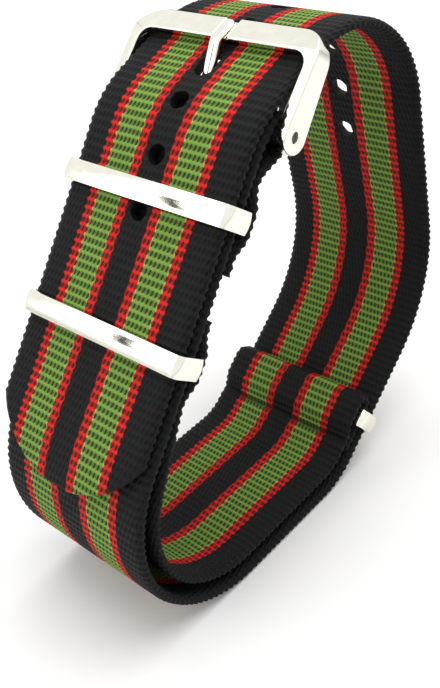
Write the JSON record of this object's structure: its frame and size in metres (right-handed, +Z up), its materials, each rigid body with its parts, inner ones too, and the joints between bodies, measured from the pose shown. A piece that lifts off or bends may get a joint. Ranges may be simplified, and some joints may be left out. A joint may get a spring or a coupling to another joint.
{
  "type": "watch strap",
  "caption": "Closed loop watch strap of striped woven webbing with a tongue buckle on a spring bar, punched tail, short under-strap and metal keeper bands.",
  "frame": {"origin": "on the surface that the strap stands on, below the middle of the loop's bounding box", "axes": "+Z up, X across the webbing, -Y towards the buckle and tail side"},
  "size_m": [0.025, 0.0574, 0.0608],
  "materials": {
    "webbing": "woven nylon, black ground with green and red stripes",
    "hardware": "polished steel",
    "spring": "plain drawn wire"
  },
  "bodies": {
    "strap": {"long_strap": "webbing", "short_strap": "webbing", "spring_bar_tube": "hardware", "spring_bar_spring": "spring"},
    "frame": {"buckle_frame": "hardware"},
    "tongue": {"buckle_tongue": "hardware"},
    "keeper_upper": {"keeper_1": "hardware"},
    "keeper_lower": {"keeper_2": "hardware"},
    "keeper_under": {"keeper_3": "hardware"},
    "tip_left": {"spring_bar_tip_left": "hardware"},
    "tip_right": {"spring_bar_tip_right": "hardware"}
  },
  "joints": [
    {"name": "frame_hinge", "type": "hinge", "parent": "strap", "child": "frame", "pos_m": [0, -0.00068, 0.05258], "axis": [1, 0, 0], "range_deg": [0, 3]},
    {"name": "tongue_hinge", "type": "hinge", "parent": "strap", "child": "tongue", "pos_m": [0, -0.00068, 0.05258], "axis": [1, 0, 0], "range_deg": [0, 3]},
    {"name": "keeper_upper_rock", "type": "hinge", "parent": "strap", "child": "keeper_upper", "pos_m": [0, -0.00728, 0.04605], "axis": [1, 0, 0], "range_deg": [-4, 4]},
    {"name": "keeper_lower_rock", "type": "hinge", "parent": "strap", "child": "keeper_lower", "pos_m": [0, -0.01632, 0.0342], "axis": [1, 0, 0], "range_deg": [-4, 4]},
    {"name": "keeper_under_rock", "type": "hinge", "parent": "strap", "child": "keeper_under", "pos_m": [0, 0.01156, 0.00802], "axis": [1, 0, 0], "range_deg": [-4, 4]},
    {"name": "tip_left_slide", "type": "slide", "parent": "strap", "child": "tip_left", "axis": [1, 0, 0], "range_m": [0, 0.001], "stiffness_N_per_m": 400, "springref_m": -0.002, "deforming": ["spring_bar_spring"]},
    {"name": "tip_right_slide", "type": "slide", "parent": "strap", "child": "tip_right", "axis": [-1, 0, 0], "range_m": [0, 0.001], "stiffness_N_per_m": 400, "springref_m": -0.002, "deforming": ["spring_bar_spring"]}
  ],
  "couplings": [
    {"joint": "tongue_hinge", "follows": "frame_hinge", "ratio": 1}
  ]
}
